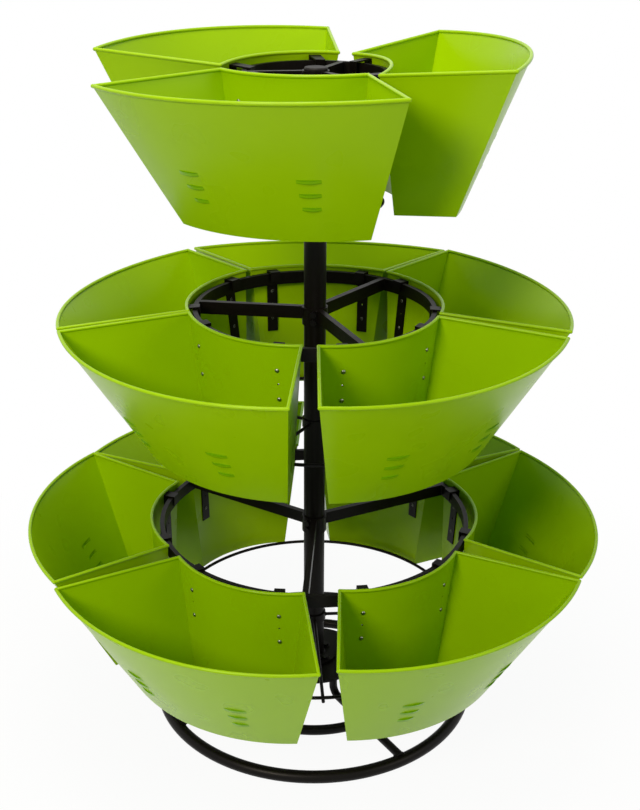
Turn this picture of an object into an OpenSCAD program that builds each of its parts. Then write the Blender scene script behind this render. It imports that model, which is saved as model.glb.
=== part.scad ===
// Tiered raised planter: three rings of hanging pots round one pole, on a ring base.
// +Z is up. The origin is on the pole's axis at floor level and the front looks toward -Y.
// Tiers are counted from the top, and the pots of a tier anticlockwise from the front.

/* [Pots] */
// Radius of the outer wall along its rim, about the pot's own centre
pot_outer_r = 430.3; // [420:0.1:432]
// Radius of the inner wall along its rim, about the pot's own centre
pot_inner_r = 216; // [212:0.1:222]
// Angle between the two straight sides
pot_angle = 70; // [64:0.5:70]
// Height from the pot's floor to the middle of its rim
pot_depth = 223.6; // [200:0.1:240]
// Lean of the outer wall from upright
outer_lean = 27.7; // [20:0.1:30]
// Lean of the inner wall from upright
inner_lean = 1.8; // [1:0.1:4]
// Lean of the straight sides from upright
side_lean = 6.3; // [4:0.1:8]
// Thickness of the sheet
sheet_t = 1.2; // [0.8:0.1:1.6]
// Radius of the rolled rim
bead_r = 3; // [2:0.1:4]

/* [Louvres] */
// Direction of each louvre group from the middle of the outer wall
louvre_angle = 15; // [12:0.5:20]
// Depth of the highest louvre below the rim
louvre_drop = 120; // [100:1:140]
// Spacing of the louvres in a group
louvre_step = 23; // [16:1:26]
// Length of the highest louvre
louvre_l = 38; // [30:1:44]
// How much shorter each louvre is than the one above
louvre_taper = 4.5; // [0:0.5:6]
// Height of a louvre's slot
louvre_h = 6; // [4:0.5:8]
// How far a louvre's strip stands out of the wall
louvre_out = 2.2; // [1.5:0.1:4]

/* [Hooks] */
// Direction of each hook strap from the middle of the inner wall
strap_angle = 23.3; // [18:0.1:26]
// Width of a hook strap
strap_w = 20; // [14:1:26]
// Thickness of a hook strap
strap_t = 2.5; // [2:0.5:3]
// Depth of the strap's lower end below the rim
strap_drop = 120; // [105:1:150]
// Length of the hook's inner leg
hook_leg = 16; // [10:1:20]
// Depth of the two rivets below the rim
upper_rivet_drop = 44; // [38:1:55]
// Depth of the lower rivet below the rim
lower_rivet_drop = 95; // [85:1:100]
// Depth of the spare hole below the rim
spare_hole_drop = 68; // [60:1:78]
// Radius of a rivet's shank
rivet_r = 1.6; // [1.2:0.1:2.4]
// Radius of a rivet's head
rivet_head_r = 3.4; // [3:0.1:5]

/* [Tiers] */
// Height of the bottom pots' rims above the floor
bottom_rim_z = 376.6; // [360:0.1:420]
// Height of the middle pots' rims above the floor
middle_rim_z = 778.5; // [740:0.1:820]
// Height of the top pots' rims above the floor
top_rim_z = 1171; // [1120:0.1:1240]
// How much smaller the top ring is than the pots' inner radius
top_ring_in = 99; // [96:0.5:102]
// How much smaller the middle ring is than the pots' inner radius
middle_ring_in = 8; // [4:0.5:12]
// How much larger the bottom ring is than the pots' inner radius
bottom_ring_out = 65; // [62:0.5:74]
// Gap between the top ring and each top pot's inner wall
top_wall_gaps = [10.2, 0.8, 8.2]; // [0.3:0.1:14]
// Gap between the middle ring and the pots' inner walls
middle_wall_gap = 8.8; // [8.4:0.1:12]
// Gap between the bottom ring and the pots' inner walls
bottom_wall_gap = 14.2; // [12:0.1:18]
// Angle from one top pot to the next
top_pitch = 120.85; // [118:0.05:122]
// Gap between neighbouring middle pots at their outer corners
middle_side_gap = 11.5; // [8:0.5:14]
// Gap between neighbouring bottom pots at their outer corners
bottom_side_gap = 1.5; // [1:0.1:3]

/* [Rings and spokes] */
// Height of the ring and spoke tube
ring_h = 22; // [16:1:26]
// Thickness of the ring tube
ring_t = 8; // [6:0.5:10]
// Width of the spoke tube
spoke_w = 10; // [8:0.5:14]
// Depth of the ring's top below the rims
ring_drop = 6.5; // [6.5:0.1:8]
// Radius of the lower rings' rod
rod_r = 3; // [2.5:0.1:4]
// Height of the lower rings above the pots' floors
lower_rise = 7.6; // [5:0.1:20]
// Outer radius of the hub collars
hub_r = 22; // [21.5:0.1:26]
// Height of the hub collars
hub_h = 31; // [24:1:40]
// Height of the lower rings' collars
lower_hub_h = 16; // [12:1:24]
// Radius of a set screw's thread
screw_r = 3; // [2.5:0.1:4]

/* [Pole] */
// Outer radius of the pole
pole_r = 19; // [17:0.1:20]
// Thickness of the pole's wall
pole_wall = 1.5; // [1:0.1:2.5]
// How far the pole stands above the top ring
pole_over = 1; // [0:0.5:10]

/* [Base] */
// Radius of the floor ring along the middle of its tube
floor_ring_r = 291; // [270:1:310]
// Radius of the floor ring's tube
floor_tube_r = 11; // [9:0.5:13]
// Radius of the inner ring along the middle of its tube
inner_ring_r = 175; // [150:1:190]
// Radius of the inner ring's tube
inner_tube_r = 9; // [8:0.5:11]
// Height of the inner ring and the legs along their middles
leg_z = 20; // [19:0.5:24]
// Radius of the legs' tube
leg_r = 7.5; // [6:0.5:8]
// Radius at which the legs stand up under the plate
leg_stand_r = 70; // [60:1:80]
// Radius of the bend in a leg
leg_bend_r = 18; // [14:1:24]
// Radius of the base plate
plate_r = 90; // [86:1:110]
// Height of the base plate's underside
plate_z = 60; // [52:1:70]
// Thickness of the base plate
plate_t = 5; // [3:0.5:8]
// Radius of the pole's flange
flange_r = 42; // [40:1:50]
// Thickness of the pole's flange
flange_t = 5; // [3:0.5:8]
// Radius of the flange bolts' circle
flange_bolt_circle_r = 31; // [29:0.5:33]
// Radius of a flange bolt's thread
flange_bolt_r = 4; // [3:0.5:4]

/* [Hidden] */
TIERS = ["top", "middle", "bottom"];
POTS_PER_TIER = [3, 5, 6];

LEAF_GREEN = [0.55, 0.70, 0.05];
DARK_BROWN = [0.12, 0.10, 0.09];
ZINC = [0.70, 0.71, 0.72];

// Clearances: a seat between bodies, a running fit, a lean on the lower ring, a hook's inner leg,
// a rivet in its hole, a strap against its wall and a thread in its hole
seat_gap = 0.3;
run_gap = 0.3;
lean_gap = 0.4;
hook_gap = 0.6;
rivet_gap = 0.05;
strap_gap = 0.05;
thread_gap = 0.05;

// How each pot hangs, in order round its tier. Tilt lowers the outer wall and roll lifts the left side.
TILT = [[1.6, -6.8, -5.3], [3.6, 3.0, 3.8, 4.1, 4.4], [2.2, 1.9, 1.3, -0.9, -1.4, 1.8]];
ROLL = [[1.5, 0, 0], [0, 0, 0, 0, 0], [-1.2, 0, 0, 0, 0, 0]];
TURN = [[0, -0.7, 0], [0, 1.5, 0.7, 0.6, 0], [0, 0, 0, 0, 0, 0]];
WALL_GAP = [
    top_wall_gaps,
    [for (i = [1 : 5]) middle_wall_gap],
    [for (i = [1 : 6]) bottom_wall_gap]
];
// Direction opposite the wide gap in each tier, and of its first spoke and lower rod
TIER_BACK = [8.55, 88, 92.5];
FIRST_SPOKE = [67, 52.5, 27];
FIRST_ROD = [45, 60, 3.5];
// Direction of the set screws from a tier's first spoke, midway between the other two
screw_turn = 210;
SPOKES = 3;
RODS = 4;
LEGS = 4;
first_leg = 32;
FLANGE_BOLTS = 4;
first_flange_bolt = 45;

// Largest reach of a cutting block, and how far a cut runs past a face
far = 600;
over = 1;
// Facets of large and small rounds
large_fn = 240;
round_fn = 64;
small_fn = 32;

RING_R = [pot_inner_r - top_ring_in, pot_inner_r - middle_ring_in, pot_inner_r + bottom_ring_out];
SIDE_GAP = [0, middle_side_gap, bottom_side_gap];
function rim_z(t) = [top_rim_z, middle_rim_z, bottom_rim_z][t];
function ring_top(t) = rim_z(t) - ring_drop;
function ring_inner_r(t) = RING_R[t] - ring_t;

// Radii of the sheet's faces at a depth below the rim
function ring_side_r(depth) = pot_inner_r - sheet_t / 2 - depth * tan(inner_lean);
// Radius of the strap's face on that wall
function strap_face_r(depth) = ring_side_r(depth) - strap_gap;
function outer_face_r(depth) = pot_outer_r + sheet_t / 2 - depth * tan(outer_lean);
// Distance of a side wall's outer face, at a depth, from the line through the pot's centre
function side_in(depth) = bead_r - sheet_t / 2 + depth * tan(side_lean);

// Distance from the pole's axis to the pot's own centre
function pot_reach(t, i) = RING_R[t] + WALL_GAP[t][i] - ring_side_r(ring_drop);

// Half the angle that a pot takes up, seen from the pole
corner_r = sqrt(pow(pot_outer_r, 2) - pow(bead_r, 2));
corner_angle = pot_angle / 2 - asin(bead_r / pot_outer_r);
function corner_at(t) = [pot_reach(t, 0) + pot_outer_r * cos(corner_angle), pot_outer_r * sin(corner_angle)];
function half_extent(t) = atan2(corner_at(t)[1], corner_at(t)[0]) + asin(bead_r / norm(corner_at(t)));
function pitch(t) = t == 0 ? top_pitch
    : 2 * half_extent(t) + 2 * asin(SIDE_GAP[t] / 2 / norm(corner_at(t)));
function pot_direction(t, i) = TIER_BACK[t] + (i - (POTS_PER_TIER[t] - 1) / 2) * pitch(t) + TURN[t][i];

// Radius from the pot's own centre to a circle about the pole, along a direction of the pot
function pot_radius_of(circle_r, reach, angle) =
    -reach * cos(angle) + sqrt(pow(circle_r, 2) - pow(reach * sin(angle), 2));
half_strap = asin(strap_w / 2 / pot_inner_r);
function ring_near(t, i) = min([for (side = [-1, 1])
    pot_radius_of(ring_inner_r(t), pot_reach(t, i), strap_angle + side * half_strap)]);
function ring_far(t, i) = max([for (side = [-1, 1])
    pot_radius_of(RING_R[t], pot_reach(t, i), strap_angle + side * half_strap)]);
// Outer face of the hook's inner leg, clear of the ring at the pot's tilt
function hook_leg_r(t, i) = ring_near(t, i) - hook_gap - hook_leg * sin(abs(TILT[t][i]));

// A pot swings about the line between the points where its hooks rest
function swing_at(t, i) = (ring_near(t, i) + ring_far(t, i)) / 2 * cos(strap_angle);
// Where a point of pot i swings to: along the pot's direction, across it, and above the ring
function swung(t, i, p) =
    let (roll = ROLL[t][i], tilt = TILT[t][i], pivot = swing_at(t, i))
    let (across = p[1] * cos(roll) - (p[2] + ring_drop) * sin(roll))
    let (up = p[1] * sin(roll) + (p[2] + ring_drop) * cos(roll))
    [
        pot_reach(t, i) + pivot + (p[0] - pivot) * cos(tilt) + up * sin(tilt),
        across,
        up * cos(tilt) - (p[0] - pivot) * sin(tilt)
    ];
// The pot is lifted until its hooks' undersides clear the ring
function pot_lift(t, i) = seat_gap + max([
    for (side = [-1, 1]) for (edge = [-1, 1]) for (circle_r = [ring_inner_r(t), RING_R[t]])
        let (angle = side * strap_angle + edge * half_strap)
        let (r = pot_radius_of(circle_r, pot_reach(t, i), angle))
        -swung(t, i, [r * cos(angle), r * sin(angle), -ring_drop])[2]
]);

// The lower ring is as wide as the pots that lean on it let it be
lower_drop = pot_depth - lower_rise;
lower_corner_angle = pot_angle / 2 - asin(side_in(pot_depth) / ring_side_r(pot_depth));
function lower_wall_r(t, i, angle) =
    let (r = ring_side_r(pot_depth))
    let (p = swung(t, i, [r * cos(angle), r * sin(angle), -pot_depth]))
    norm([p[0], p[1]]);
function lower_ring_r(t) = min([for (i = [0 : POTS_PER_TIER[t] - 1]) for (part = [-2 : 2])
    lower_wall_r(t, i, part / 2 * lower_corner_angle)]) - rod_r - lean_gap;
function lower_z(t) = rim_z(t) - lower_drop;

pole_foot_z = plate_z + plate_t + flange_t;
pole_top_z = ring_top(0) + pole_over;
hub_bore_r = pole_r + run_gap;
screw_head_h = 4;
screw_head_r = 5.8;
cap_h = 4;
cap_plug_h = 14;
flange_bolt_head_h = 5;
flange_bolt_head_r = 7;
flange_nut_h = 6;

// Everything on the pot's side of one straight side, drawn in by a thickness
module side_space(inset) {
    rotate([0, 0, pot_angle / 2])
        translate([0, -side_in(0) - inset / cos(side_lean), 0])
            rotate([-side_lean, 0, 0])
                translate([0, -far, -far])
                    cube([far, far, 2 * far]);
}

// The block inside the pot's faces, drawn in by a thickness and running from floor to top
module pot_block(inset, top) {
    floor_depth = pot_depth - inset;
    intersection() {
        rotate([0, 0, -pot_angle])
            rotate_extrude(angle = 2 * pot_angle, $fn = large_fn)
                polygon([
                    [ring_side_r(floor_depth) + inset / cos(inner_lean), -floor_depth],
                    [outer_face_r(floor_depth) - inset / cos(outer_lean), -floor_depth],
                    [outer_face_r(-top) - inset / cos(outer_lean), top],
                    [ring_side_r(-top) + inset / cos(inner_lean), top]
                ]);
        side_space(inset);
        mirror([0, 1, 0])
            side_space(inset);
    }
}

module rim_arc(r) {
    half = pot_angle / 2 - asin(bead_r / r);
    rotate([0, 0, -half])
        rotate_extrude(angle = 2 * half, $fn = large_fn)
            translate([r, 0])
                circle(r = bead_r, $fn = small_fn);
}

// The rim of a side is a little thinner than the arcs, and its corners swell a little over both
module rim_side() {
    thinner = 0.2;
    swell = 0.1;
    start = sqrt(pow(pot_inner_r, 2) - pow(bead_r, 2));
    rotate([0, 0, pot_angle / 2])
        translate([start, -bead_r, 0]) {
            rotate([0, 90, 0])
                cylinder(h = corner_r - start, r = bead_r - thinner, $fn = small_fn);
            for (corner = [0, corner_r - start])
                translate([corner, 0, 0])
                    sphere(r = bead_r + swell, $fn = small_fn);
        }
}

module rim() {
    rim_arc(pot_outer_r);
    rim_arc(pot_inner_r);
    rim_side();
    mirror([0, 1, 0])
        rim_side();
}

function louvre_length(k) = louvre_l - k * louvre_taper;
function louvre_depth(k) = louvre_drop + k * louvre_step;

// Places children on the outer wall's face, with X out of the wall and Z up along it
module on_outer_wall(angle, depth) {
    rotate([0, 0, angle])
        translate([outer_face_r(depth), 0, -depth])
            rotate([0, outer_lean, 0])
                children();
}

// Places children on the inner wall's ring side, with X into the pot
module on_inner_wall(angle, depth) {
    rotate([0, 0, angle])
        translate([ring_side_r(depth), 0, -depth])
            rotate([0, inner_lean, 0])
                children();
}

// The strip left between two slits, bowed out of the wall
module louvre_strip(length, wall_r) {
    slit = 0.4;
    wall_sag = wall_r - sqrt(pow(wall_r, 2) - pow(length / 2, 2));
    rise = louvre_out + wall_sag;
    bow_r = (pow(length / 2, 2) + pow(rise, 2)) / (2 * rise);
    strip_h = louvre_h - 2 * slit;
    intersection() {
        translate([louvre_out - bow_r, 0, -strip_h / 2])
            difference() {
                cylinder(h = strip_h, r = bow_r, $fn = large_fn);
                translate([0, 0, -over])
                    cylinder(h = strip_h + 2 * over, r = bow_r - sheet_t, $fn = large_fn);
            }
        translate([-wall_sag - sheet_t, -length / 2, -strip_h])
            cube([rise + 2 * sheet_t, length, 2 * strip_h]);
    }
}

module louvre_slot(length) {
    joined = 2;
    depth = 10;
    translate([-depth / 2, joined - length / 2, -louvre_h / 2])
        cube([depth, length - 2 * joined, louvre_h]);
}

module strap_holes(depths, r) {
    length = 12;
    for (side = [-1, 1])
        for (depth = depths)
            on_inner_wall(side * strap_angle, depth)
                translate([-length / 2, 0, 0])
                    rotate([0, 90, 0])
                        cylinder(h = length, r = r, $fn = small_fn);
}

module pot() {
    difference() {
        union() {
            difference() {
                pot_block(0, -bead_r / 2);
                pot_block(sheet_t, bead_r);
            }
            rim();
        }
        for (side = [-1, 1])
            for (k = [0 : 2])
                on_outer_wall(side * louvre_angle, louvre_depth(k))
                    louvre_slot(louvre_length(k));
        strap_holes([upper_rivet_drop, lower_rivet_drop], rivet_r + rivet_gap);
        strap_holes([spare_hole_drop], rivet_r);
    }
    for (side = [-1, 1])
        for (k = [0 : 2])
            on_outer_wall(side * louvre_angle, louvre_depth(k))
                louvre_strip(louvre_length(k), outer_face_r(louvre_depth(k)));
}

// One strap of a hook: down the wall, over the ring and down its inner side
module hook_strap(leg_face_r) {
    bridge = ring_drop - strap_t;
    leg_end = ring_drop + hook_leg;
    rotate([0, 0, -half_strap])
        rotate_extrude(angle = 2 * half_strap, $fn = large_fn)
            polygon([
                [strap_face_r(bridge), -bridge],
                [strap_face_r(strap_drop), -strap_drop],
                [strap_face_r(strap_drop) - strap_t, -strap_drop],
                [strap_face_r(ring_drop) - strap_t, -ring_drop],
                [leg_face_r, -ring_drop],
                [leg_face_r, -leg_end],
                [leg_face_r - strap_t, -leg_end],
                [leg_face_r - strap_t, -bridge]
            ]);
}

// A blind rivet: dome in the pot, shank, and the set end on the strap
module rivet() {
    head_h = 1.6;
    tail_h = 1.4;
    tail_r = 2.6;
    dome_r = (pow(rivet_head_r, 2) + pow(head_h, 2)) / (2 * head_h);
    rotate([0, 90, 0]) {
        translate([0, 0, -strap_gap - strap_t - tail_h]) {
            cylinder(h = tail_h + strap_t + strap_gap + sheet_t + head_h / 2, r = rivet_r, $fn = small_fn);
            cylinder(h = tail_h + strap_t / 2, r = tail_r, $fn = small_fn);
        }
        translate([0, 0, sheet_t])
            intersection() {
                translate([0, 0, head_h - dome_r])
                    sphere(r = dome_r, $fn = round_fn);
                cylinder(h = 2 * head_h, r = 2 * rivet_head_r, $fn = small_fn);
            }
    }
}

module hooks(leg_face_r) {
    difference() {
        for (side = [-1, 1])
            rotate([0, 0, side * strap_angle])
                hook_strap(leg_face_r);
        strap_holes([spare_hole_drop], rivet_r);
    }
    for (side = [-1, 1])
        for (depth = [upper_rivet_drop, lower_rivet_drop])
            on_inner_wall(side * strap_angle, depth)
                rivet();
}

// Hangs a pot's pieces at place i of tier t
module hung(t, i) {
    pivot = [swing_at(t, i), 0, -ring_drop];
    rotate([0, 0, pot_direction(t, i)])
        translate([pot_reach(t, i), 0, rim_z(t) + pot_lift(t, i)])
            translate(pivot)
                rotate([ROLL[t][i], TILT[t][i], 0])
                    translate(-pivot)
                        children();
}

module hung_pot(t, i) {
    color(LEAF_GREEN)
        hung(t, i)
            pot();
}

module hung_hooks(t, i) {
    color(DARK_BROWN)
        hung(t, i)
            hooks(hook_leg_r(t, i));
}

module ring(t) {
    color(DARK_BROWN)
        translate([0, 0, ring_top(t) - ring_h])
            rotate_extrude($fn = large_fn)
                translate([ring_inner_r(t), 0])
                    square([ring_t, ring_h]);
}

module hub(t) {
    color(DARK_BROWN)
        translate([0, 0, ring_top(t) - hub_h])
            difference() {
                cylinder(h = hub_h, r = hub_r, $fn = round_fn);
                translate([0, 0, -over])
                    cylinder(h = hub_h + 2 * over, r = hub_bore_r, $fn = round_fn);
                on_set_screws(t)
                    cylinder(h = hub_r, r = screw_r + thread_gap, $fn = small_fn);
            }
}

// Places children at the two set screws of a hub, with Z out of the collar from the pole's axis
module on_set_screws(t) {
    margin = 0.27;
    for (share = [margin, 1 - margin])
        translate([0, 0, hub_h * share])
            rotate([0, 90, FIRST_SPOKE[t] + screw_turn])
                children();
}

module set_screws(t) {
    color(ZINC)
        translate([0, 0, ring_top(t) - hub_h])
            on_set_screws(t) {
                translate([0, 0, hub_bore_r])
                    cylinder(h = hub_r - hub_bore_r + screw_head_h / 2, r = screw_r, $fn = small_fn);
                translate([0, 0, hub_r])
                    cylinder(h = screw_head_h, r = screw_head_r, $fn = 6);
            }
}

module spokes(t) {
    color(DARK_BROWN)
        translate([0, 0, ring_top(t) - ring_h])
            intersection() {
                difference() {
                    for (k = [0 : SPOKES - 1])
                        rotate([0, 0, FIRST_SPOKE[t] + k * 360 / SPOKES])
                            translate([0, -spoke_w / 2, 0])
                                cube([RING_R[t], spoke_w, ring_h]);
                    cylinder(h = 3 * ring_h, r = hub_r, center = true, $fn = round_fn);
                }
                cylinder(h = 3 * ring_h, r = ring_inner_r(t), center = true, $fn = large_fn);
            }
}

module lower_ring(t) {
    color(DARK_BROWN)
        translate([0, 0, lower_z(t)])
            rotate_extrude($fn = large_fn)
                translate([lower_ring_r(t), 0])
                    circle(r = rod_r, $fn = small_fn);
}

module lower_hub(t) {
    color(DARK_BROWN)
        translate([0, 0, lower_z(t) - 2 * rod_r - lower_hub_h / 2])
            difference() {
                cylinder(h = lower_hub_h, r = hub_r, $fn = round_fn);
                translate([0, 0, -over])
                    cylinder(h = lower_hub_h + 2 * over, r = hub_bore_r, $fn = round_fn);
            }
}

module lower_rods(t) {
    color(DARK_BROWN)
        translate([0, 0, lower_z(t) - 2 * rod_r])
            difference() {
                for (k = [0 : RODS - 1])
                    rotate([0, 90, FIRST_ROD[t] + k * 360 / RODS])
                        cylinder(h = lower_ring_r(t) + rod_r, r = rod_r, $fn = small_fn);
                cylinder(h = 4 * rod_r, r = hub_r, center = true, $fn = round_fn);
            }
}

module pole() {
    color(DARK_BROWN)
        translate([0, 0, pole_foot_z])
            difference() {
                cylinder(h = pole_top_z - pole_foot_z, r = pole_r, $fn = round_fn);
                translate([0, 0, -over])
                    cylinder(h = pole_top_z - pole_foot_z + 2 * over, r = pole_r - pole_wall, $fn = round_fn);
            }
}

module pole_cap() {
    plug_r = pole_r - pole_wall;
    color(DARK_BROWN)
        translate([0, 0, pole_top_z])
            difference() {
                union() {
                    cylinder(h = cap_h / 2, r = pole_r, $fn = round_fn);
                    translate([0, 0, cap_h / 2])
                        cylinder(h = cap_h / 2, r1 = pole_r, r2 = plug_r, $fn = round_fn);
                    translate([0, 0, -cap_plug_h])
                        cylinder(h = cap_plug_h, r = plug_r, $fn = round_fn);
                }
                translate([0, 0, -cap_plug_h - over])
                    cylinder(h = cap_plug_h + over, r = plug_r - 2, $fn = round_fn);
            }
}

module pole_flange() {
    color(DARK_BROWN)
        translate([0, 0, plate_z + plate_t])
            difference() {
                cylinder(h = flange_t, r = flange_r, $fn = round_fn);
                on_flange_bolts()
                    translate([0, 0, -over])
                        cylinder(h = flange_t + 2 * over, r = flange_bolt_r + thread_gap, $fn = small_fn);
            }
}

module on_flange_bolts() {
    for (k = [0 : FLANGE_BOLTS - 1])
        rotate([0, 0, first_flange_bolt + k * 360 / FLANGE_BOLTS])
            translate([flange_bolt_circle_r, 0, 0])
                children();
}

module flange_bolts() {
    color(ZINC)
        translate([0, 0, plate_z])
            on_flange_bolts() {
                translate([0, 0, -flange_nut_h])
                    cylinder(h = flange_nut_h + plate_t + flange_t + 1, r = flange_bolt_r, $fn = small_fn);
                translate([0, 0, plate_t + flange_t])
                    cylinder(h = flange_bolt_head_h, r = flange_bolt_head_r, $fn = 6);
                translate([0, 0, -flange_nut_h])
                    cylinder(h = flange_nut_h, r = flange_bolt_head_r, $fn = 6);
            }
}

module base_plate() {
    color(DARK_BROWN)
        translate([0, 0, plate_z])
            difference() {
                cylinder(h = plate_t, r = plate_r, $fn = large_fn);
                on_flange_bolts()
                    translate([0, 0, -over])
                        cylinder(h = plate_t + 2 * over, r = flange_bolt_r + thread_gap, $fn = small_fn);
            }
}

module floor_ring() {
    color(DARK_BROWN)
        floor_ring_tube();
}

module floor_ring_tube() {
    translate([0, 0, floor_tube_r])
        rotate_extrude($fn = large_fn)
            translate([floor_ring_r, 0])
                circle(r = floor_tube_r, $fn = round_fn);
}

module inner_ring() {
    color(DARK_BROWN)
        inner_ring_tube();
}

module inner_ring_tube() {
    translate([0, 0, leg_z])
        rotate_extrude($fn = large_fn)
            translate([inner_ring_r, 0])
                circle(r = inner_tube_r, $fn = round_fn);
}

// One leg: out along the floor from a bend that turns it up to the plate
module leg() {
    bend_end = leg_stand_r + leg_bend_r;
    translate([bend_end, 0, leg_z])
        rotate([0, 90, 0])
            cylinder(h = floor_ring_r - bend_end, r = leg_r, $fn = small_fn);
    translate([bend_end, 0, leg_z + leg_bend_r])
        rotate([-90, 0, 0])
            rotate([0, 0, 90])
                rotate_extrude(angle = 90, $fn = large_fn)
                    translate([leg_bend_r, 0])
                        circle(r = leg_r, $fn = small_fn);
    translate([leg_stand_r, 0, leg_z + leg_bend_r])
        cylinder(h = plate_z - leg_z - leg_bend_r, r = leg_r, $fn = small_fn);
}

module base_legs() {
    color(DARK_BROWN)
        difference() {
            for (k = [0 : LEGS - 1])
                rotate([0, 0, first_leg + k * 360 / LEGS])
                    leg();
            floor_ring_tube();
            inner_ring_tube();
        }
}

floor_ring();
inner_ring();
base_legs();
base_plate();
pole_flange();
flange_bolts();
pole();
pole_cap();
for (t = [0 : 2]) {
    hub(t);
    spokes(t);
    ring(t);
    lower_hub(t);
    lower_rods(t);
    lower_ring(t);
    set_screws(t);
    for (i = [0 : POTS_PER_TIER[t] - 1]) {
        hung_pot(t, i);
        hung_hooks(t, i);
    }
}
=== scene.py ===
"""Tiered raised planter: the looks round the CAD frame.

Lengths are millimetres until a mesh is made, and angles are degrees.
"""

from math import asin, atan2, cos, degrees, hypot, pi, radians, sin, sqrt, tan

import bpy
from mathutils import Matrix, Vector


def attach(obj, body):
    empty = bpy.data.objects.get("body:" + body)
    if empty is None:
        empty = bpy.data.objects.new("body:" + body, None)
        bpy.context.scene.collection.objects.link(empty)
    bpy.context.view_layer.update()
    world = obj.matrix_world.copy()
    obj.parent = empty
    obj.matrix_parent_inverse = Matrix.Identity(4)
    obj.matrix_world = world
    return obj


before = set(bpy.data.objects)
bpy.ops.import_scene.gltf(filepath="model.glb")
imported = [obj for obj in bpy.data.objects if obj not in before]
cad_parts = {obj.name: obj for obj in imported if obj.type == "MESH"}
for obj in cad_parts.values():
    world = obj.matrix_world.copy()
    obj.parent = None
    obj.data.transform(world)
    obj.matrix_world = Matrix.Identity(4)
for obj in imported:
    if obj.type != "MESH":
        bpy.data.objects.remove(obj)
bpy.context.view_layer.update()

MM = 0.001

# Camera
CAMERA_AT = (0.0, -2.005, 1.4506)
CAMERA_PITCH = 23.306
CAMERA_ROLL = 0.337
CAMERA_YAW = 0.327
CAMERA_LENS = 69.53
CAMERA_SENSOR = 36.0
IMAGE_WIDTH = 640
FRAME_CENTRE_OFF = (-1.1, 0.6)

# Pots
POT_OUTER_R = 430.3
POT_INNER_R = 216.0
POT_ANGLE = 70.0
POT_DEPTH = 223.6
INNER_LEAN = 1.8
OUTER_LEAN = 27.7
SHEET = 1.2
RIM_R = 3.0

# Hooks
STRAP_ANGLE = 23.3
STRAP_W = 20.0
STRAP_T = 2.55
RIVET_DROPS = (44.0, 95.0)
SEAT_GAP = 0.3

# Tiers, from the top
TIERS = ("top", "middle", "bottom")
POTS_PER_TIER = (3, 5, 6)
RIM_Z = (1171.0, 778.5, 376.6)
RING_R = (117.0, 208.0, 281.0)
RING_T = 8.0
RING_H = 22.0
RING_DROP = 6.5
WALL_GAP = ((10.2, 0.8, 8.2), (8.8,) * 5, (14.2,) * 6)
TOP_PITCH = 120.85
SIDE_GAP = (0.0, 11.5, 1.5)
TILT = ((1.6, -6.8, -5.3), (3.6, 3.0, 3.8, 4.1, 4.4), (2.2, 1.9, 1.3, -0.9, -1.4, 1.8))
ROLL = ((1.5, 0, 0), (0,) * 5, (-1.2, 0, 0, 0, 0, 0))
TURN = ((0, -0.7, 0), (0, 1.5, 0.7, 0.6, 0), (0,) * 6)
TIER_BACK = (8.55, 88.0, 92.5)
FIRST_SPOKE = (67.0, 52.5, 27.0)
FIRST_ROD = (45.0, 60.0, 3.5)
SPOKES = 3
SPOKE_W = 10.0
HUB_R = 22.0
RODS = 4
ROD_R = 3.0
LOWER_RING_R = (111.0, 189.9, 268.9)
LOWER_RISE = 7.6

# Base
FLOOR_RING_R = 291.0
FLOOR_TUBE_R = 11.0
INNER_RING_R = 175.0
INNER_TUBE_R = 9.0
LEG_Z = 20.0
LEG_R = 7.5
LEG_STAND_R = 70.0
LEGS = 4
FIRST_LEG = 32.0
PLATE_Z = 60.0
PLATE_T = 5.0
FLANGE_T = 5.0
POLE_R = 19.0
BOLT_CIRCLE_R = 31.0
BOLT_HEAD_R = 7.0
BOLTS = 4
FIRST_BOLT = 45.0

# Rivets, as radii and heights: a domed head with its broken mandrel in the middle, and a flat
# bulb on the strap's other side, low enough to pass the ring when a pot is lifted
RIVET_HEAD = (
    (3.7, -0.2),
    (3.75, 0.4),
    (3.45, 1.0),
    (2.8, 1.5),
    (2.0, 1.9),
    (1.35, 2.1),
    (1.1, 2.08),
    (1.0, 1.75),
    (0.7, 1.78),
    (0.05, 1.85),
)
RIVET_BULB = (
    (2.75, -0.2),
    (3.0, 0.3),
    (3.0, 0.7),
    (2.6, 1.05),
    (1.7, 1.25),
    (1.0, 1.3),
    (0.85, 1.5),
    (0.05, 1.6),
)

# Louvres, with a thin skin over each strip's face and its two cut edges that carries painted
# shade: a darker green on the bowed face, and a darker one still over the slits and under the
# strip
LOUVRE_ANGLE = 15.0
LOUVRE_DROP = 120.0
LOUVRE_STEP = 23.0
LOUVRE_L = 38.0
LOUVRE_TAPER = 4.5
LOUVRE_H = 6.0
LOUVRE_OUT = 2.2
LOUVRES = 3
STRIP_FACE_H = 3.6
SKIN_OUT = 0.12
STRIP_SKIN_IN = 0.4
EDGE_SKIN_IN = 2.3
SKIN_SHARE = 0.96

# Weld beads: their radii, how far they sit in or out of the joint, and steps round a tube
SPOKE_WELD = 1.8
ROD_WELD = 1.3
TUBE_WELD = 2.2
POLE_WELD = 2.6
WELD_RIPPLE = 2.4
WELD_STEP = 0.8
WELD_END = 1.0
WELD_SINK = 0.4
WELD_OFF = 0.6
ROD_WELD_STEPS = 28
CROSSING_WELD_STEPS = 64
UNDER_WELD_STEPS = 48

# Flange washers, round the bolts' heads
WASHER_OVER = 2.2
WASHER_UNDER = 2.0
WASHER_T = 1.4
WASHER_EDGE = 0.3

# Studio, in metres
FLOOR_HALF = 30
MIDDLE = (0, 0, 0.6)
SOFTBOX_WARMTH = (1.0, 0.87, 0.7)
AIR_LEVEL = 0.32
AIR_TINT = (0.66, 1.0, 0.72, 1.0)
WHITE = (1.0, 1.0, 1.0, 1.0)


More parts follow.
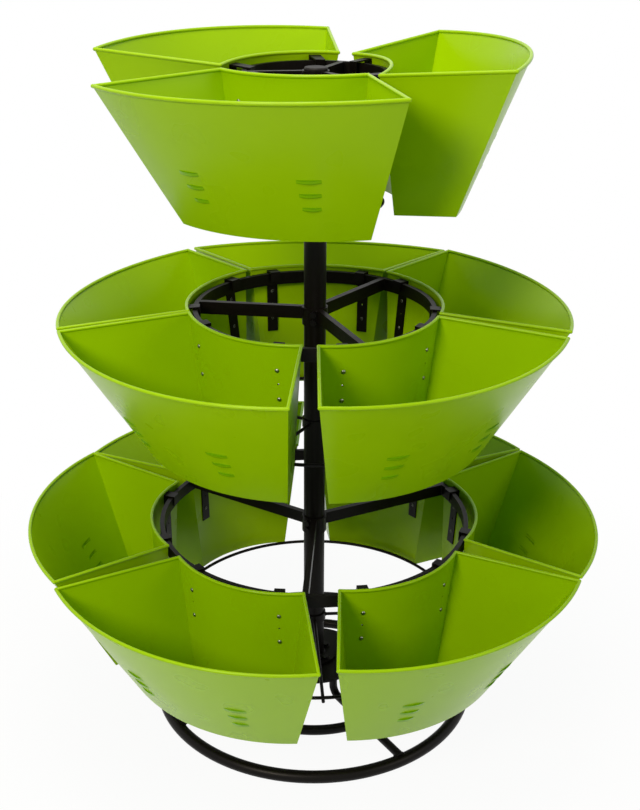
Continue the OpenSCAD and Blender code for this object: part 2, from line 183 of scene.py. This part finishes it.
def make_camera():
    yaw, pitch, roll = radians(CAMERA_YAW), radians(CAMERA_PITCH), radians(CAMERA_ROLL)
    ahead = Vector((sin(yaw) * cos(pitch), cos(yaw) * cos(pitch), -sin(pitch)))
    right = Vector((cos(yaw), -sin(yaw), 0))
    up = right.cross(ahead)
    right, up = right * cos(roll) + up * sin(roll), up * cos(roll) - right * sin(roll)
    data = bpy.data.cameras.new("camera")
    data.sensor_fit = "HORIZONTAL"
    data.sensor_width = CAMERA_SENSOR
    data.lens = CAMERA_LENS
    data.shift_x, data.shift_y = (off / IMAGE_WIDTH for off in FRAME_CENTRE_OFF)
    camera = bpy.data.objects.new("camera", data)
    turn = Matrix((right, up, -ahead)).transposed().to_4x4()
    camera.matrix_world = Matrix.Translation(CAMERA_AT) @ turn
    bpy.context.scene.collection.objects.link(camera)
    bpy.context.scene.camera = camera


make_camera()
bpy.context.scene.view_settings.view_transform = "Standard"


def linear(code):
    """The linear colour of an sRGB hex value."""
    parts = [int(code[i : i + 2], 16) / 255 for i in (1, 3, 5)]
    parts = [p / 12.92 if p <= 0.04045 else ((p + 0.055) / 1.055) ** 2.4 for p in parts]
    return (*parts, 1.0)


def per_mm(size):
    """The scale at which a pattern repeats every so many millimetres, in object space."""
    return 1 / (size * MM)


def add(material, kind, settings=None, links=None):
    """Adds a node to a material: settings go to its inputs or options, links to its inputs."""
    node = material.node_tree.nodes.new(kind)
    for name, value in (settings or {}).items():
        if name in node.inputs:
            node.inputs[name].default_value = value
        else:
            setattr(node, name, value)
    for name, socket in (links or {}).items():
        material.node_tree.links.new(socket, node.inputs[name])
    return node


def blank_material(name):
    material = bpy.data.materials.new(name)
    material.use_nodes = True
    material.node_tree.nodes.clear()
    return material


def finish_material(material, shader):
    add(material, "ShaderNodeOutputMaterial", links={"Surface": shader.outputs[0]})
    return material


def glossy_powder_coat(name, light, dark):
    """Polyester powder baked on sheet steel: an even colour with a soft gloss.

    The paint flows out into a faint orange peel a few millimetres across, pools a shade darker
    in places, and is a little duller where hands and soil have rubbed it.
    """
    m = blank_material(name)
    place = add(m, "ShaderNodeTexCoord").outputs["Object"]
    pooled = add(m, "ShaderNodeTexNoise", {"Scale": per_mm(120), "Detail": 2.0}, {"Vector": place})
    peel = add(m, "ShaderNodeTexNoise", {"Scale": per_mm(3.5), "Detail": 1.0}, {"Vector": place})
    rubbed = add(m, "ShaderNodeTexNoise", {"Scale": per_mm(60), "Detail": 1.0}, {"Vector": place})
    paint = add(
        m,
        "ShaderNodeMixRGB",
        {"Color1": linear(dark), "Color2": linear(light)},
        {"Fac": pooled.outputs["Fac"]},
    )
    gloss = add(
        m,
        "ShaderNodeMapRange",
        {"From Min": 0.3, "From Max": 0.7, "To Min": 0.27, "To Max": 0.3},
        {"Value": rubbed.outputs["Fac"]},
    )
    skin = add(
        m,
        "ShaderNodeBump",
        {"Strength": 0.03, "Distance": 0.06 * MM},
        {"Height": peel.outputs["Fac"]},
    )
    shader = add(
        m,
        "ShaderNodeBsdfPrincipled",
        {"IOR": 1.5, "Specular IOR Level": 0.15},
        {
            "Base Color": paint.outputs["Color"],
            "Roughness": gloss.outputs["Result"],
            "Normal": skin.outputs["Normal"],
        },
    )
    return finish_material(m, shader)


def satin_brown_powder_coat():
    """Polyester powder baked on steel tube and strip: a near-black brown with a satin sheen.

    A fine texture breaks up the highlights, drawn several times coarser than life so that it
    shows, and small rubbed places look paler and duller.
    """
    m = blank_material("satin_brown_powder_coat")
    place = add(m, "ShaderNodeTexCoord").outputs["Object"]
    grit = add(m, "ShaderNodeTexNoise", {"Scale": per_mm(1.6), "Detail": 2.0}, {"Vector": place})
    rubbed = add(
        m,
        "ShaderNodeTexNoise",
        {"Scale": per_mm(9), "Detail": 8.0, "Roughness": 0.75},
        {"Vector": place},
    )
    scuffs = add(
        m,
        "ShaderNodeMapRange",
        {"From Min": 0.62, "From Max": 0.82, "To Min": 0.0, "To Max": 0.4},
        {"Value": rubbed.outputs["Fac"]},
    )
    paint = add(
        m,
        "ShaderNodeMixRGB",
        {"Color1": linear("#0B0806"), "Color2": linear("#241C17")},
        {"Fac": scuffs.outputs["Result"]},
    )
    sheen = add(
        m,
        "ShaderNodeMapRange",
        {"From Min": 0.3, "From Max": 0.7, "To Min": 0.32, "To Max": 0.46},
        {"Value": rubbed.outputs["Fac"]},
    )
    skin = add(
        m,
        "ShaderNodeBump",
        {"Strength": 0.12, "Distance": 0.05 * MM},
        {"Height": grit.outputs["Fac"]},
    )
    shader = add(
        m,
        "ShaderNodeBsdfPrincipled",
        {"IOR": 1.5, "Specular IOR Level": 0.12},
        {
            "Base Color": paint.outputs["Color"],
            "Roughness": sheen.outputs["Result"],
            "Normal": skin.outputs["Normal"],
        },
    )
    return finish_material(m, shader)


def dull_rivet_aluminium():
    """Aluminium of the blind rivets, dulled outdoors: a soft grey gloss, its colour tinted green
    as a painted reflection of the green pots round it.
    """
    m = blank_material("dull_rivet_aluminium")
    place = add(m, "ShaderNodeTexCoord").outputs["Object"]
    cloud = add(m, "ShaderNodeTexNoise", {"Scale": per_mm(2), "Detail": 3.0}, {"Vector": place})
    # Grey tinted green: painted reflection of the green pots
    metal = add(
        m,
        "ShaderNodeMixRGB",
        {"Color1": linear("#8E9488"), "Color2": linear("#7C8276")},
        {"Fac": cloud.outputs["Fac"]},
    )
    polish = add(
        m,
        "ShaderNodeMapRange",
        {"To Min": 0.26, "To Max": 0.4},
        {"Value": cloud.outputs["Fac"]},
    )
    shader = add(
        m,
        "ShaderNodeBsdfPrincipled",
        {"Metallic": 1.0},
        {"Base Color": metal.outputs["Color"], "Roughness": polish.outputs["Result"]},
    )
    return finish_material(m, shader)


def black_zinc_plate():
    """Black passivated zinc plate on the bolts, screws and washers: dark, with a dull glint."""
    m = blank_material("black_zinc_plate")
    place = add(m, "ShaderNodeTexCoord").outputs["Object"]
    cloud = add(m, "ShaderNodeTexNoise", {"Scale": per_mm(3), "Detail": 4.0}, {"Vector": place})
    metal = add(
        m,
        "ShaderNodeMixRGB",
        {"Color1": linear("#1B1A1A"), "Color2": linear("#2C2A29")},
        {"Fac": cloud.outputs["Fac"]},
    )
    polish = add(
        m,
        "ShaderNodeMapRange",
        {"To Min": 0.32, "To Max": 0.5},
        {"Value": cloud.outputs["Fac"]},
    )
    shader = add(
        m,
        "ShaderNodeBsdfPrincipled",
        {"Metallic": 1.0},
        {"Base Color": metal.outputs["Color"], "Roughness": polish.outputs["Result"]},
    )
    return finish_material(m, shader)


def moulded_black_polyethylene():
    """Injection-moulded polyethylene of the pole's cap: waxy black with a spark-eroded grain.

    The real grain is too fine to show and is drawn at 0.9 mm.
    """
    m = blank_material("moulded_black_polyethylene")
    place = add(m, "ShaderNodeTexCoord").outputs["Object"]
    grain = add(m, "ShaderNodeTexNoise", {"Scale": per_mm(0.9), "Detail": 3.0}, {"Vector": place})
    plastic = add(
        m,
        "ShaderNodeMixRGB",
        {"Color1": linear("#121111"), "Color2": linear("#1D1B1A")},
        {"Fac": grain.outputs["Fac"]},
    )
    skin = add(
        m,
        "ShaderNodeBump",
        {"Strength": 0.4, "Distance": 0.05 * MM},
        {"Height": grain.outputs["Fac"]},
    )
    shader = add(
        m,
        "ShaderNodeBsdfPrincipled",
        {"Roughness": 0.52, "IOR": 1.51, "Specular IOR Level": 0.15},
        {"Base Color": plastic.outputs["Color"], "Normal": skin.outputs["Normal"]},
    )
    return finish_material(m, shader)


# Leaf green for the pots; the darker green over the louvres' strip faces, and the darker one still
# over the slits along their cut edges, is painted shade
GREEN = glossy_powder_coat("glossy_green_powder_coat", "#98C000", "#90B800")
STRIP_PAINTED_SHADE_GREEN = glossy_powder_coat("painted_shade_green_for_louvre_faces", "#7EB200", "#78AB00")
EDGE_PAINTED_SHADE_GREEN = glossy_powder_coat("painted_shade_green_for_louvre_slits", "#6B9F00", "#649600")
BROWN = satin_brown_powder_coat()
RIVET_METAL = dull_rivet_aluminium()
DARK = black_zinc_plate()
CAP_PLASTIC = moulded_black_polyethylene()


def dress_cad_nodes():
    for name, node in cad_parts.items():
        material = BROWN
        if "_pot_" in name:
            material = GREEN
        elif name == "flange_bolts" or name.endswith("_set_screws"):
            material = DARK
        elif name == "pole_cap":
            material = CAP_PLASTIC
        for slot in node.material_slots:
            slot.material = material


dress_cad_nodes()


def ring_side_r(depth):
    return POT_INNER_R - SHEET / 2 - depth * tan(radians(INNER_LEAN))


def pot_reach(t, i):
    return RING_R[t] + WALL_GAP[t][i] - ring_side_r(RING_DROP)


def ring_top(t):
    return RIM_Z[t] - RING_DROP


def pitch(t):
    if t == 0:
        return TOP_PITCH
    corner_angle = radians(POT_ANGLE / 2) - asin(RIM_R / POT_OUTER_R)
    corner = (pot_reach(t, 0) + POT_OUTER_R * cos(corner_angle), POT_OUTER_R * sin(corner_angle))
    half = atan2(corner[1], corner[0]) + asin(RIM_R / hypot(*corner))
    return degrees(2 * half + 2 * asin(SIDE_GAP[t] / 2 / hypot(*corner)))


def pot_direction(t, i):
    return TIER_BACK[t] + (i - (POTS_PER_TIER[t] - 1) / 2) * pitch(t) + TURN[t][i]


def strap_points(t, i, circle_r):
    """Where the edges of pot i's straps cross a circle about the pole, in the pot's own place."""
    half_strap = degrees(asin(STRAP_W / 2 / POT_INNER_R))
    points = []
    for side in (-1, 1):
        for edge in (-1, 1):
            angle = radians(side * STRAP_ANGLE + edge * half_strap)
            reach = pot_reach(t, i)
            r = -reach * cos(angle) + sqrt(circle_r**2 - (reach * sin(angle)) ** 2)
            points.append((r, angle))
    return points


def hung(t, i):
    """The place of pot i of tier t: from the pot's own centre at its rim to the frame."""
    near = min(r for r, _ in strap_points(t, i, RING_R[t] - RING_T))
    far = max(r for r, _ in strap_points(t, i, RING_R[t]))
    pivot = Vector(((near + far) / 2 * cos(radians(STRAP_ANGLE)), 0, -RING_DROP))
    tilt = Matrix.Rotation(radians(TILT[t][i]), 4, "Y")
    roll = Matrix.Rotation(radians(ROLL[t][i]), 4, "X")
    swing = Matrix.Translation(pivot) @ tilt @ roll @ Matrix.Translation(-pivot)
    crossings = strap_points(t, i, RING_R[t] - RING_T) + strap_points(t, i, RING_R[t])
    lowest = min((swing @ Vector((r * cos(a), r * sin(a), -RING_DROP))).z for r, a in crossings)
    lift = SEAT_GAP - RING_DROP - lowest
    carry = Matrix.Translation((pot_reach(t, i), 0, RIM_Z[t] + lift))
    return Matrix.Rotation(radians(pot_direction(t, i)), 4, "Z") @ carry @ swing


class Shape:
    """Vertices in millimetres and faces, gathered from several parts."""

    def __init__(self):
        self.points = []
        self.faces = []

    def take(self, points, faces, place=Matrix.Identity(4)):
        start = len(self.points)
        self.points += [place @ Vector(p) for p in points]
        self.faces += [[start + k for k in face] for face in faces]

    def piece(self, name, material, body, slot, crease=40):
        """Makes the mesh object, smooth across edges softer than the crease, riding on a body."""
        mesh = bpy.data.meshes.new(name)
        mesh.from_pydata([p * MM for p in self.points], [], self.faces)
        mesh.validate()
        mesh.materials.append(material)
        mesh.polygons.foreach_set("use_smooth", [True] * len(mesh.polygons))
        mesh.set_sharp_from_angle(angle=radians(crease))
        item = bpy.data.objects.new(name, mesh)
        bpy.context.scene.collection.objects.link(item)
        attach(item, body)
        return item


def turned(profile, segments=24):
    """A solid turned about Z from (radius, height) pairs, with both ends closed flat."""
    points, faces = [], []
    for r, z in profile:
        for k in range(segments):
            angle = 2 * pi * k / segments
            points.append((r * cos(angle), r * sin(angle), z))
    for row in range(len(profile) - 1):
        for k in range(segments):
            after = (k + 1) % segments
            low, high = row * segments, (row + 1) * segments
            faces.append([low + k, low + after, high + after, high + k])
    faces.append(list(range(segments))[::-1])
    faces.append([(len(profile) - 1) * segments + k for k in range(segments)])
    return points, faces


def weld_bead(path, radius, closed=False, sides=8):
    """A round bead of weld along a path, swelling at each ripple and thin at its open ends."""
    path = [Vector(p) for p in path]
    count = len(path)
    points, faces, run = [], [], 0.0
    for k, centre in enumerate(path):
        before = path[(k - 1) % count] if closed or k else centre
        after = path[(k + 1) % count] if closed or k < count - 1 else centre
        along = (after - before).normalized()
        across = along.cross(Vector((0.31, 0.17, 0.93))).normalized()
        above = along.cross(across)
        if k:
            run += (centre - path[k - 1]).length
        swell = radius * (0.92 + 0.14 * abs(sin(pi * run / WELD_RIPPLE)))
        if not closed and k in (0, count - 1):
            swell *= 0.5
        for side in range(sides):
            angle = 2 * pi * side / sides
            points.append(centre + (across * cos(angle) + above * sin(angle)) * swell)
    for k in range(count if closed else count - 1):
        low, high = k * sides, (k + 1) % count * sides
        for side in range(sides):
            after = (side + 1) % sides
            faces.append([low + side, low + after, high + after, high + side])
    if not closed:
        faces.append(list(range(sides))[::-1])
        faces.append([(count - 1) * sides + side for side in range(sides)])
    return points, faces


def line(start, end):
    start, end = Vector(start), Vector(end)
    count = max(3, int((end - start).length / WELD_STEP))
    return [start.lerp(end, k / count) for k in range(count + 1)]


def circle(radius, height):
    count = int(2 * pi * radius / WELD_STEP)
    turns = [2 * pi * k / count for k in range(count)]
    return [(radius * cos(turn), radius * sin(turn), height) for turn in turns]


def about(angle):
    return Matrix.Rotation(radians(angle), 4, "Z")


def make_rivets():
    for t, tier in enumerate(TIERS):
        for i in range(POTS_PER_TIER[t]):
            heads, bulbs = Shape(), Shape()
            for side in (-1, 1):
                for drop in RIVET_DROPS:
                    on_wall = (
                        hung(t, i)
                        @ about(side * STRAP_ANGLE)
                        @ Matrix.Translation((ring_side_r(drop), 0, -drop))
                        @ Matrix.Rotation(radians(INNER_LEAN), 4, "Y")
                    )
                    into_pot = on_wall @ Matrix.Translation((SHEET, 0, 0))
                    to_pole = on_wall @ Matrix.Translation((-STRAP_T, 0, 0))
                    heads.take(*turned(RIVET_HEAD), into_pot @ Matrix.Rotation(pi / 2, 4, "Y"))
                    bulbs.take(*turned(RIVET_BULB), to_pole @ Matrix.Rotation(-pi / 2, 4, "Y"))
            pot = f"{tier}_pot_{i + 1}"
            heads.piece(f"{pot}_rivet_heads", RIVET_METAL, f"{pot}_hung", "zinc_plate")
            bulbs.piece(f"{pot}_rivet_bulbs", RIVET_METAL, f"{pot}_hung", "zinc_plate")


make_rivets()


def bowed_bar(bow_r, half_angle, low, high, skin_in, steps=16):
    """A thin bar bent about Z, from one face's radius to the other's, closed all round."""
    points, faces = [], []
    for k in range(steps + 1):
        angle = half_angle * (2 * k / steps - 1)
        for r, z in ((-skin_in, low), (SKIN_OUT, low), (SKIN_OUT, high), (-skin_in, high)):
            points.append(((bow_r + r) * cos(angle), (bow_r + r) * sin(angle), z))
    for k in range(steps):
        for side in range(4):
            after = (side + 1) % 4
            faces.append([4 * k + side, 4 * k + after, 4 * k + 4 + after, 4 * k + 4 + side])
    faces.append([3, 2, 1, 0])
    faces.append([4 * steps + side for side in range(4)])
    return points, faces


def make_louvre_shade_skins():
    for t, tier in enumerate(TIERS):
        for i in range(POTS_PER_TIER[t]):
            strips, edges = Shape(), Shape()
            for side in (-1, 1):
                for k in range(LOUVRES):
                    drop = LOUVRE_DROP + k * LOUVRE_STEP
                    half = (LOUVRE_L - k * LOUVRE_TAPER) / 2
                    face_r = POT_OUTER_R + SHEET / 2 - drop * tan(radians(OUTER_LEAN))
                    rise = LOUVRE_OUT + face_r - sqrt(face_r**2 - half**2)
                    bow_r = (half**2 + rise**2) / (2 * rise)
                    on_wall = (
                        hung(t, i)
                        @ about(side * LOUVRE_ANGLE)
                        @ Matrix.Translation((face_r, 0, -drop))
                        @ Matrix.Rotation(radians(OUTER_LEAN), 4, "Y")
                        @ Matrix.Translation((LOUVRE_OUT - bow_r, 0, 0))
                    )
                    reach = asin(half / bow_r) * SKIN_SHARE
                    face, cut = STRIP_FACE_H / 2, LOUVRE_H / 2
                    strips.take(*bowed_bar(bow_r, reach, -face, face, STRIP_SKIN_IN), on_wall)
                    edges.take(*bowed_bar(bow_r, reach, face, cut, EDGE_SKIN_IN), on_wall)
                    edges.take(*bowed_bar(bow_r, reach, -cut, -face, EDGE_SKIN_IN), on_wall)
            pot = f"{tier}_pot_{i + 1}"
            # Painted shade: the face skins darker green, the slit skins darker still over the
            # slits
            strips.piece(f"{pot}_louvre_face_shade_skins", STRIP_PAINTED_SHADE_GREEN, f"{pot}_hung", "green_powder_coat")
            edges.piece(f"{pot}_louvre_slit_shade_skins", EDGE_PAINTED_SHADE_GREEN, f"{pot}_hung", "green_powder_coat")


make_louvre_shade_skins()


def make_tier_welds(t, tier):
    welds = Shape()
    inner_r = RING_R[t] - RING_T
    low, high = ring_top(t) - RING_H, ring_top(t)
    for k in range(SPOKES):
        turn = about(FIRST_SPOKE[t] + k * 360 / SPOKES)
        for y in (-SPOKE_W / 2, SPOKE_W / 2):
            for meet_r in (inner_r, HUB_R):
                x = sqrt(meet_r**2 - y**2)
                seam = line((x, y, low + WELD_END), (x, y, high - WELD_END))
                welds.take(*weld_bead(seam, SPOKE_WELD), turn)
    lower_z = RIM_Z[t] - POT_DEPTH + LOWER_RISE
    rod_z = lower_z - 2 * ROD_R
    for k in range(RODS):
        turn = about(FIRST_ROD[t] + k * 360 / RODS)
        around = []
        for step in range(ROD_WELD_STEPS):
            angle = 2 * pi * step / ROD_WELD_STEPS
            y = ROD_R * cos(angle)
            around.append((sqrt(HUB_R**2 - y**2), y, rod_z + ROD_R * sin(angle)))
        welds.take(*weld_bead(around, ROD_WELD, closed=True), turn)
        for y in (-ROD_R / 2, ROD_R / 2):
            x = LOWER_RING_R[t]
            z = rod_z + ROD_R - WELD_SINK
            welds.take(*weld_bead(line((x - ROD_R, y, z), (x + ROD_R, y, z)), ROD_WELD), turn)
    welds.piece(f"{tier}_welds", BROWN, f"{tier}_tier", "brown_powder_coat")


def make_base_welds():
    welds = Shape()
    for k in range(LEGS):
        turn = about(FIRST_LEG + k * 360 / LEGS)
        for side in (-1, 1):
            around = []
            for step in range(CROSSING_WELD_STEPS):
                angle = 2 * pi * step / CROSSING_WELD_STEPS
                y, z = LEG_R * cos(angle), LEG_R * sin(angle)
                r = INNER_RING_R + side * sqrt(INNER_TUBE_R**2 - z**2)
                around.append((sqrt(r**2 - y**2), y, LEG_Z + z))
            welds.take(*weld_bead(around, TUBE_WELD, closed=True), turn)
        under = []
        crown = asin((2 * FLOOR_TUBE_R - LEG_Z) / LEG_R)
        for step in range(UNDER_WELD_STEPS):
            angle = pi - crown + (pi + 2 * crown) * step / (UNDER_WELD_STEPS - 1)
            y, z = LEG_R * cos(angle), LEG_Z + LEG_R * sin(angle)
            r = FLOOR_RING_R - sqrt(max(0, FLOOR_TUBE_R**2 - (z - FLOOR_TUBE_R) ** 2))
            under.append((sqrt(r**2 - y**2), y, z))
        welds.take(*weld_bead(under, TUBE_WELD), turn)
        top = turn @ Matrix.Translation((LEG_STAND_R, 0, 0))
        round_leg = circle(LEG_R + WELD_OFF, PLATE_Z - WELD_SINK)
        welds.take(*weld_bead(round_leg, TUBE_WELD, closed=True), top)
    round_pole = circle(POLE_R + WELD_OFF, PLATE_Z + PLATE_T + FLANGE_T)
    welds.take(*weld_bead(round_pole, POLE_WELD, closed=True))
    welds.piece("base_welds", BROWN, "stand", "brown_powder_coat")


def make_flange_washers():
    washers = Shape()
    outer, inner = BOLT_HEAD_R + WASHER_OVER, BOLT_HEAD_R - WASHER_UNDER
    profile = (
        (inner, 0),
        (outer - WASHER_EDGE, 0),
        (outer, WASHER_EDGE),
        (outer, WASHER_T - WASHER_EDGE),
        (outer - WASHER_EDGE, WASHER_T),
        (inner, WASHER_T),
    )
    for k in range(BOLTS):
        place = about(FIRST_BOLT + k * 360 / BOLTS)
        place = place @ Matrix.Translation((BOLT_CIRCLE_R, 0, PLATE_Z + PLATE_T + FLANGE_T))
        washers.take(*turned(profile, 32), place)
    washers.piece("flange_washers", DARK, "stand", "zinc_plate")


for t, tier in enumerate(TIERS):
    make_tier_welds(t, tier)
make_base_welds()
make_flange_washers()


def seen_directly(owner):
    """1 where a ray comes from the eye, a gloss or through glass, and 0 where it only lights."""
    path = add(owner, "ShaderNodeLightPath").outputs
    gloss = add(
        owner,
        "ShaderNodeMath",
        {"operation": "MAXIMUM"},
        {0: path["Is Camera Ray"], 1: path["Is Glossy Ray"]},
    )
    return add(
        owner,
        "ShaderNodeMath",
        {"operation": "MAXIMUM"},
        {0: gloss.outputs[0], 1: path["Is Transmission Ray"]},
    )


def make_floor():
    """A matt white studio floor that shows the object's shadow and blends into the background."""
    m = blank_material("matt_white_studio_floor")
    seen = seen_directly(m)
    place = add(m, "ShaderNodeTexCoord").outputs["Object"]
    away = add(m, "ShaderNodeVectorMath", {"operation": "LENGTH"}, {0: place})
    blend = add(
        m,
        "ShaderNodeMapRange",
        {"From Min": 0.35, "From Max": 1.1, "To Min": 0.94, "To Max": 1.0},
        {"Value": away.outputs["Value"]},
    )
    share = add(
        m,
        "ShaderNodeMath",
        {"operation": "MULTIPLY"},
        {0: seen.outputs[0], 1: blend.outputs["Result"]},
    )
    speck = add(m, "ShaderNodeTexNoise", {"Scale": per_mm(4), "Detail": 3.0}, {"Vector": place})
    paint = add(
        m,
        "ShaderNodeMixRGB",
        {"Color1": linear("#D6D6D6"), "Color2": linear("#DCDCDC")},
        {"Fac": speck.outputs["Fac"]},
    )
    matt = add(m, "ShaderNodeBsdfDiffuse", links={"Color": paint.outputs["Color"]})
    white = add(m, "ShaderNodeEmission", {"Strength": 1.0})
    mixed = add(
        m,
        "ShaderNodeMixShader",
        links={0: share.outputs[0], 1: matt.outputs[0], 2: white.outputs[0]},
    )
    finish_material(m, mixed)
    mesh = bpy.data.meshes.new("floor")
    half = FLOOR_HALF
    corners = [(-half, -half, 0), (half, -half, 0), (half, half, 0), (-half, half, 0)]
    mesh.from_pydata(corners, [], [(0, 1, 2, 3)])
    mesh.materials.append(m)
    floor = bpy.data.objects.new("floor", mesh)
    bpy.context.scene.collection.objects.link(floor)


def make_world():
    """Pale light from all round, white where it is seen directly or in a gloss."""
    world = bpy.data.worlds.new("studio_air")
    world.use_nodes = True
    world.node_tree.nodes.clear()
    seen = seen_directly(world)
    level = add(
        world,
        "ShaderNodeMapRange",
        {"To Min": AIR_LEVEL, "To Max": 1.0},
        {"Value": seen.outputs[0]},
    )
    tint = add(
        world,
        "ShaderNodeMixRGB",
        {"Color1": AIR_TINT, "Color2": WHITE},
        {"Fac": seen.outputs[0]},
    )
    air = add(
        world,
        "ShaderNodeBackground",
        links={"Color": tint.outputs["Color"], "Strength": level.outputs["Result"]},
    )
    add(world, "ShaderNodeOutputWorld", links={"Surface": air.outputs[0]})
    bpy.context.scene.world = world


def softbox(name, at, size, power):
    data = bpy.data.lights.new(name, "AREA")
    data.color = SOFTBOX_WARMTH
    data.shape = "DISK"
    data.size = size
    data.energy = power
    lamp = bpy.data.objects.new(name, data)
    lamp.location = at
    lamp.rotation_euler = (Vector(MIDDLE) - Vector(at)).to_track_quat("-Z", "Y").to_euler()
    lamp.visible_camera = False
    bpy.context.scene.collection.objects.link(lamp)


make_floor()
make_world()
softbox("left_softbox", (-1.7, -2.9, 2.8), 1.3, 95)
softbox("right_softbox", (2.6, -1.4, 1.9), 1.3, 16)
softbox("overhead_softbox", (-0.3, -0.2, 3.3), 1.4, 50)
